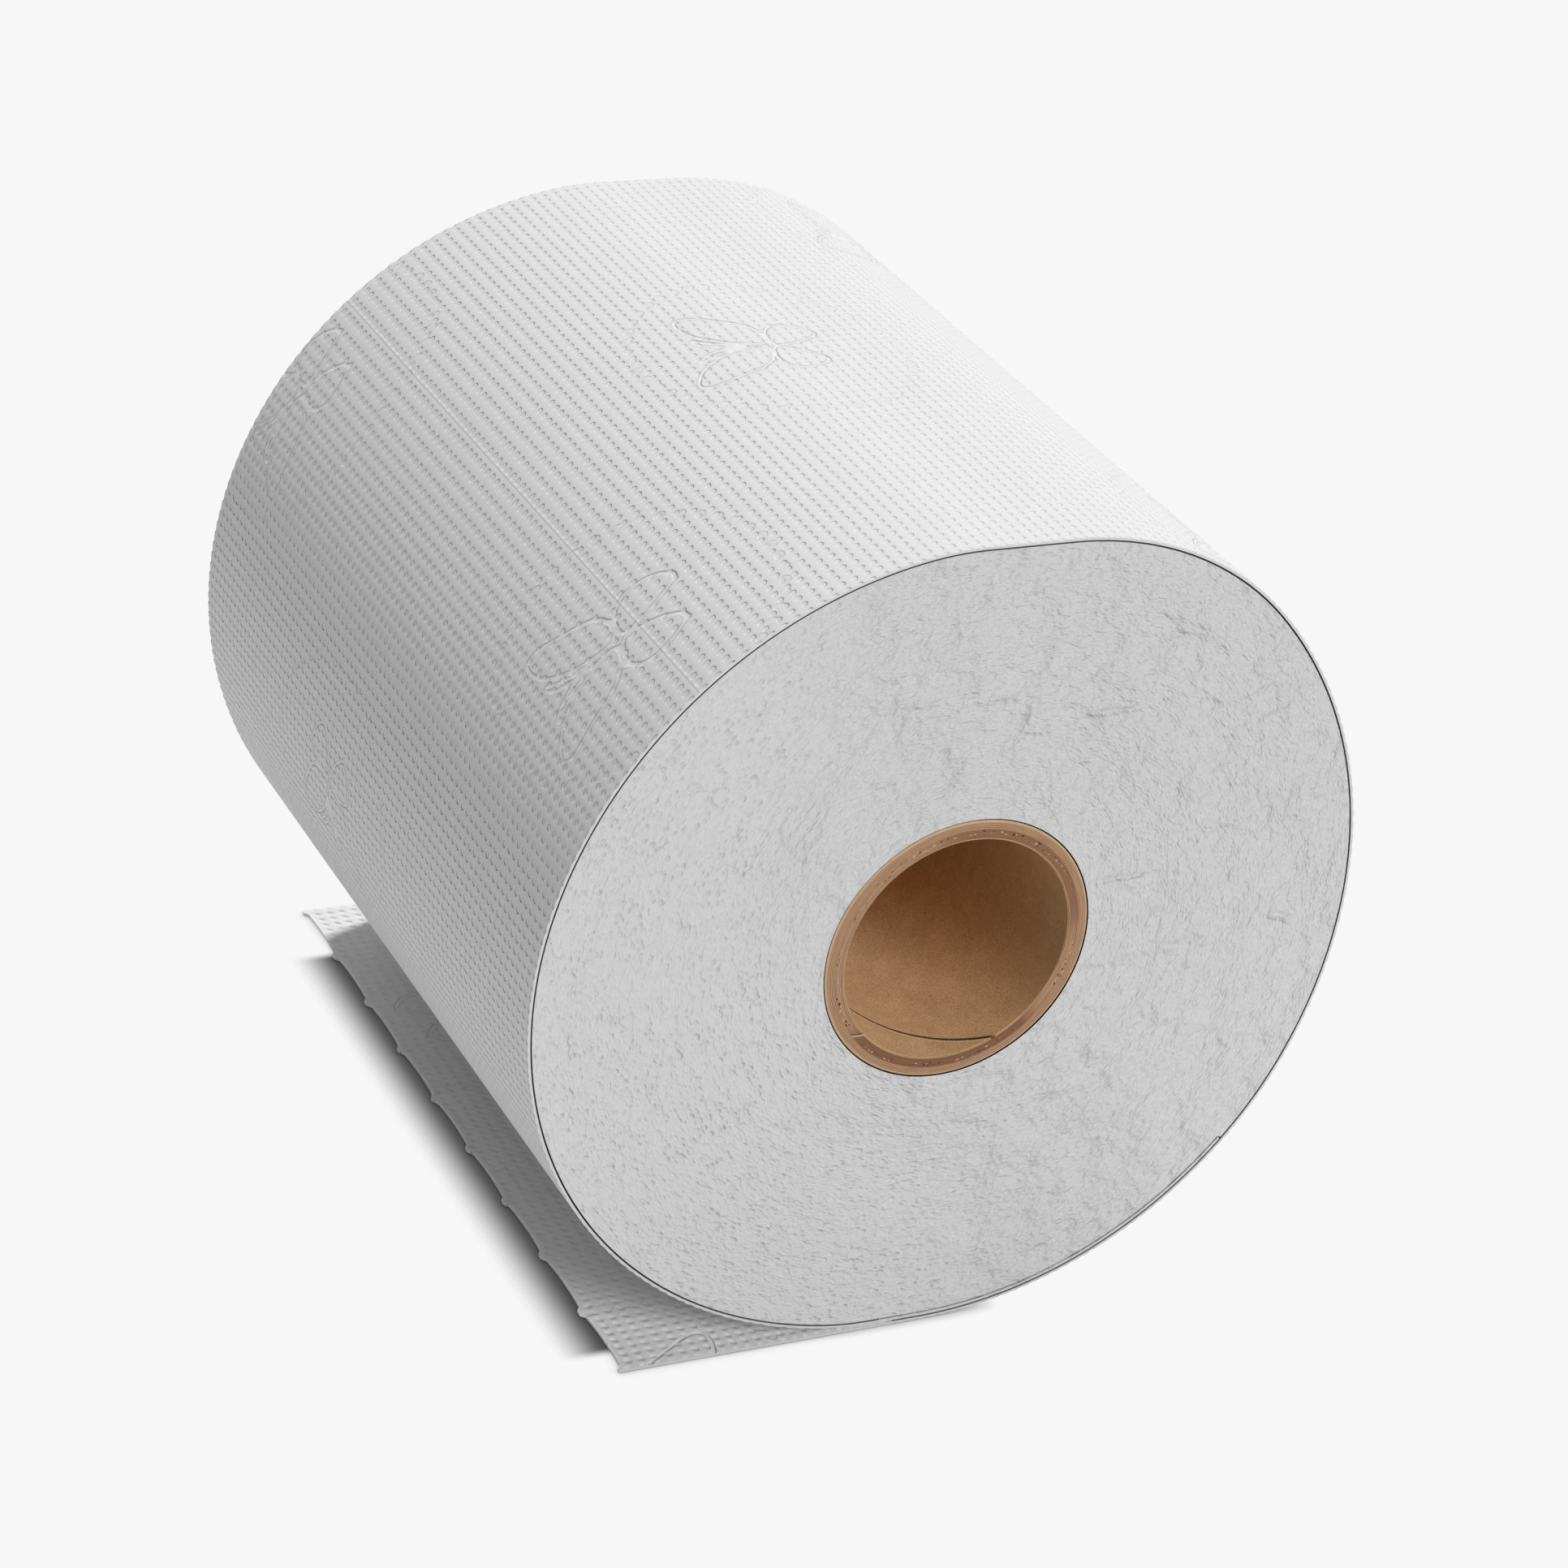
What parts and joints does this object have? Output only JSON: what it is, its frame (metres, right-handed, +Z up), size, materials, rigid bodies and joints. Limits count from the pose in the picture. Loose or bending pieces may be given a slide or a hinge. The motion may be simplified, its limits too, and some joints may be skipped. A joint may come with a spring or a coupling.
{
  "type": "toilet paper roll",
  "caption": "Soft embossed tissue wound on a spiral board core, lying on its side with the torn, toothed end of the web on the floor.",
  "frame": {"origin": "on the floor, under the middle of the roll", "axes": "+Z up, +Y along the core's axis, away from the end with the open view into the core; the torn end of the web points towards -X"},
  "size_m": [0.1103, 0.113, 0.1083],
  "materials": {
    "tissue": "matt white tissue, embossed with fine dots, line figures and bead rings; cut ends felted",
    "core_board": "raw brown grey-flecked board, spiral wound, with plies showing on the cut ends"
  },
  "bodies": {
    "root": {"paper_roll": "tissue", "core_tube": "core_board"}
  },
  "joints": []
}
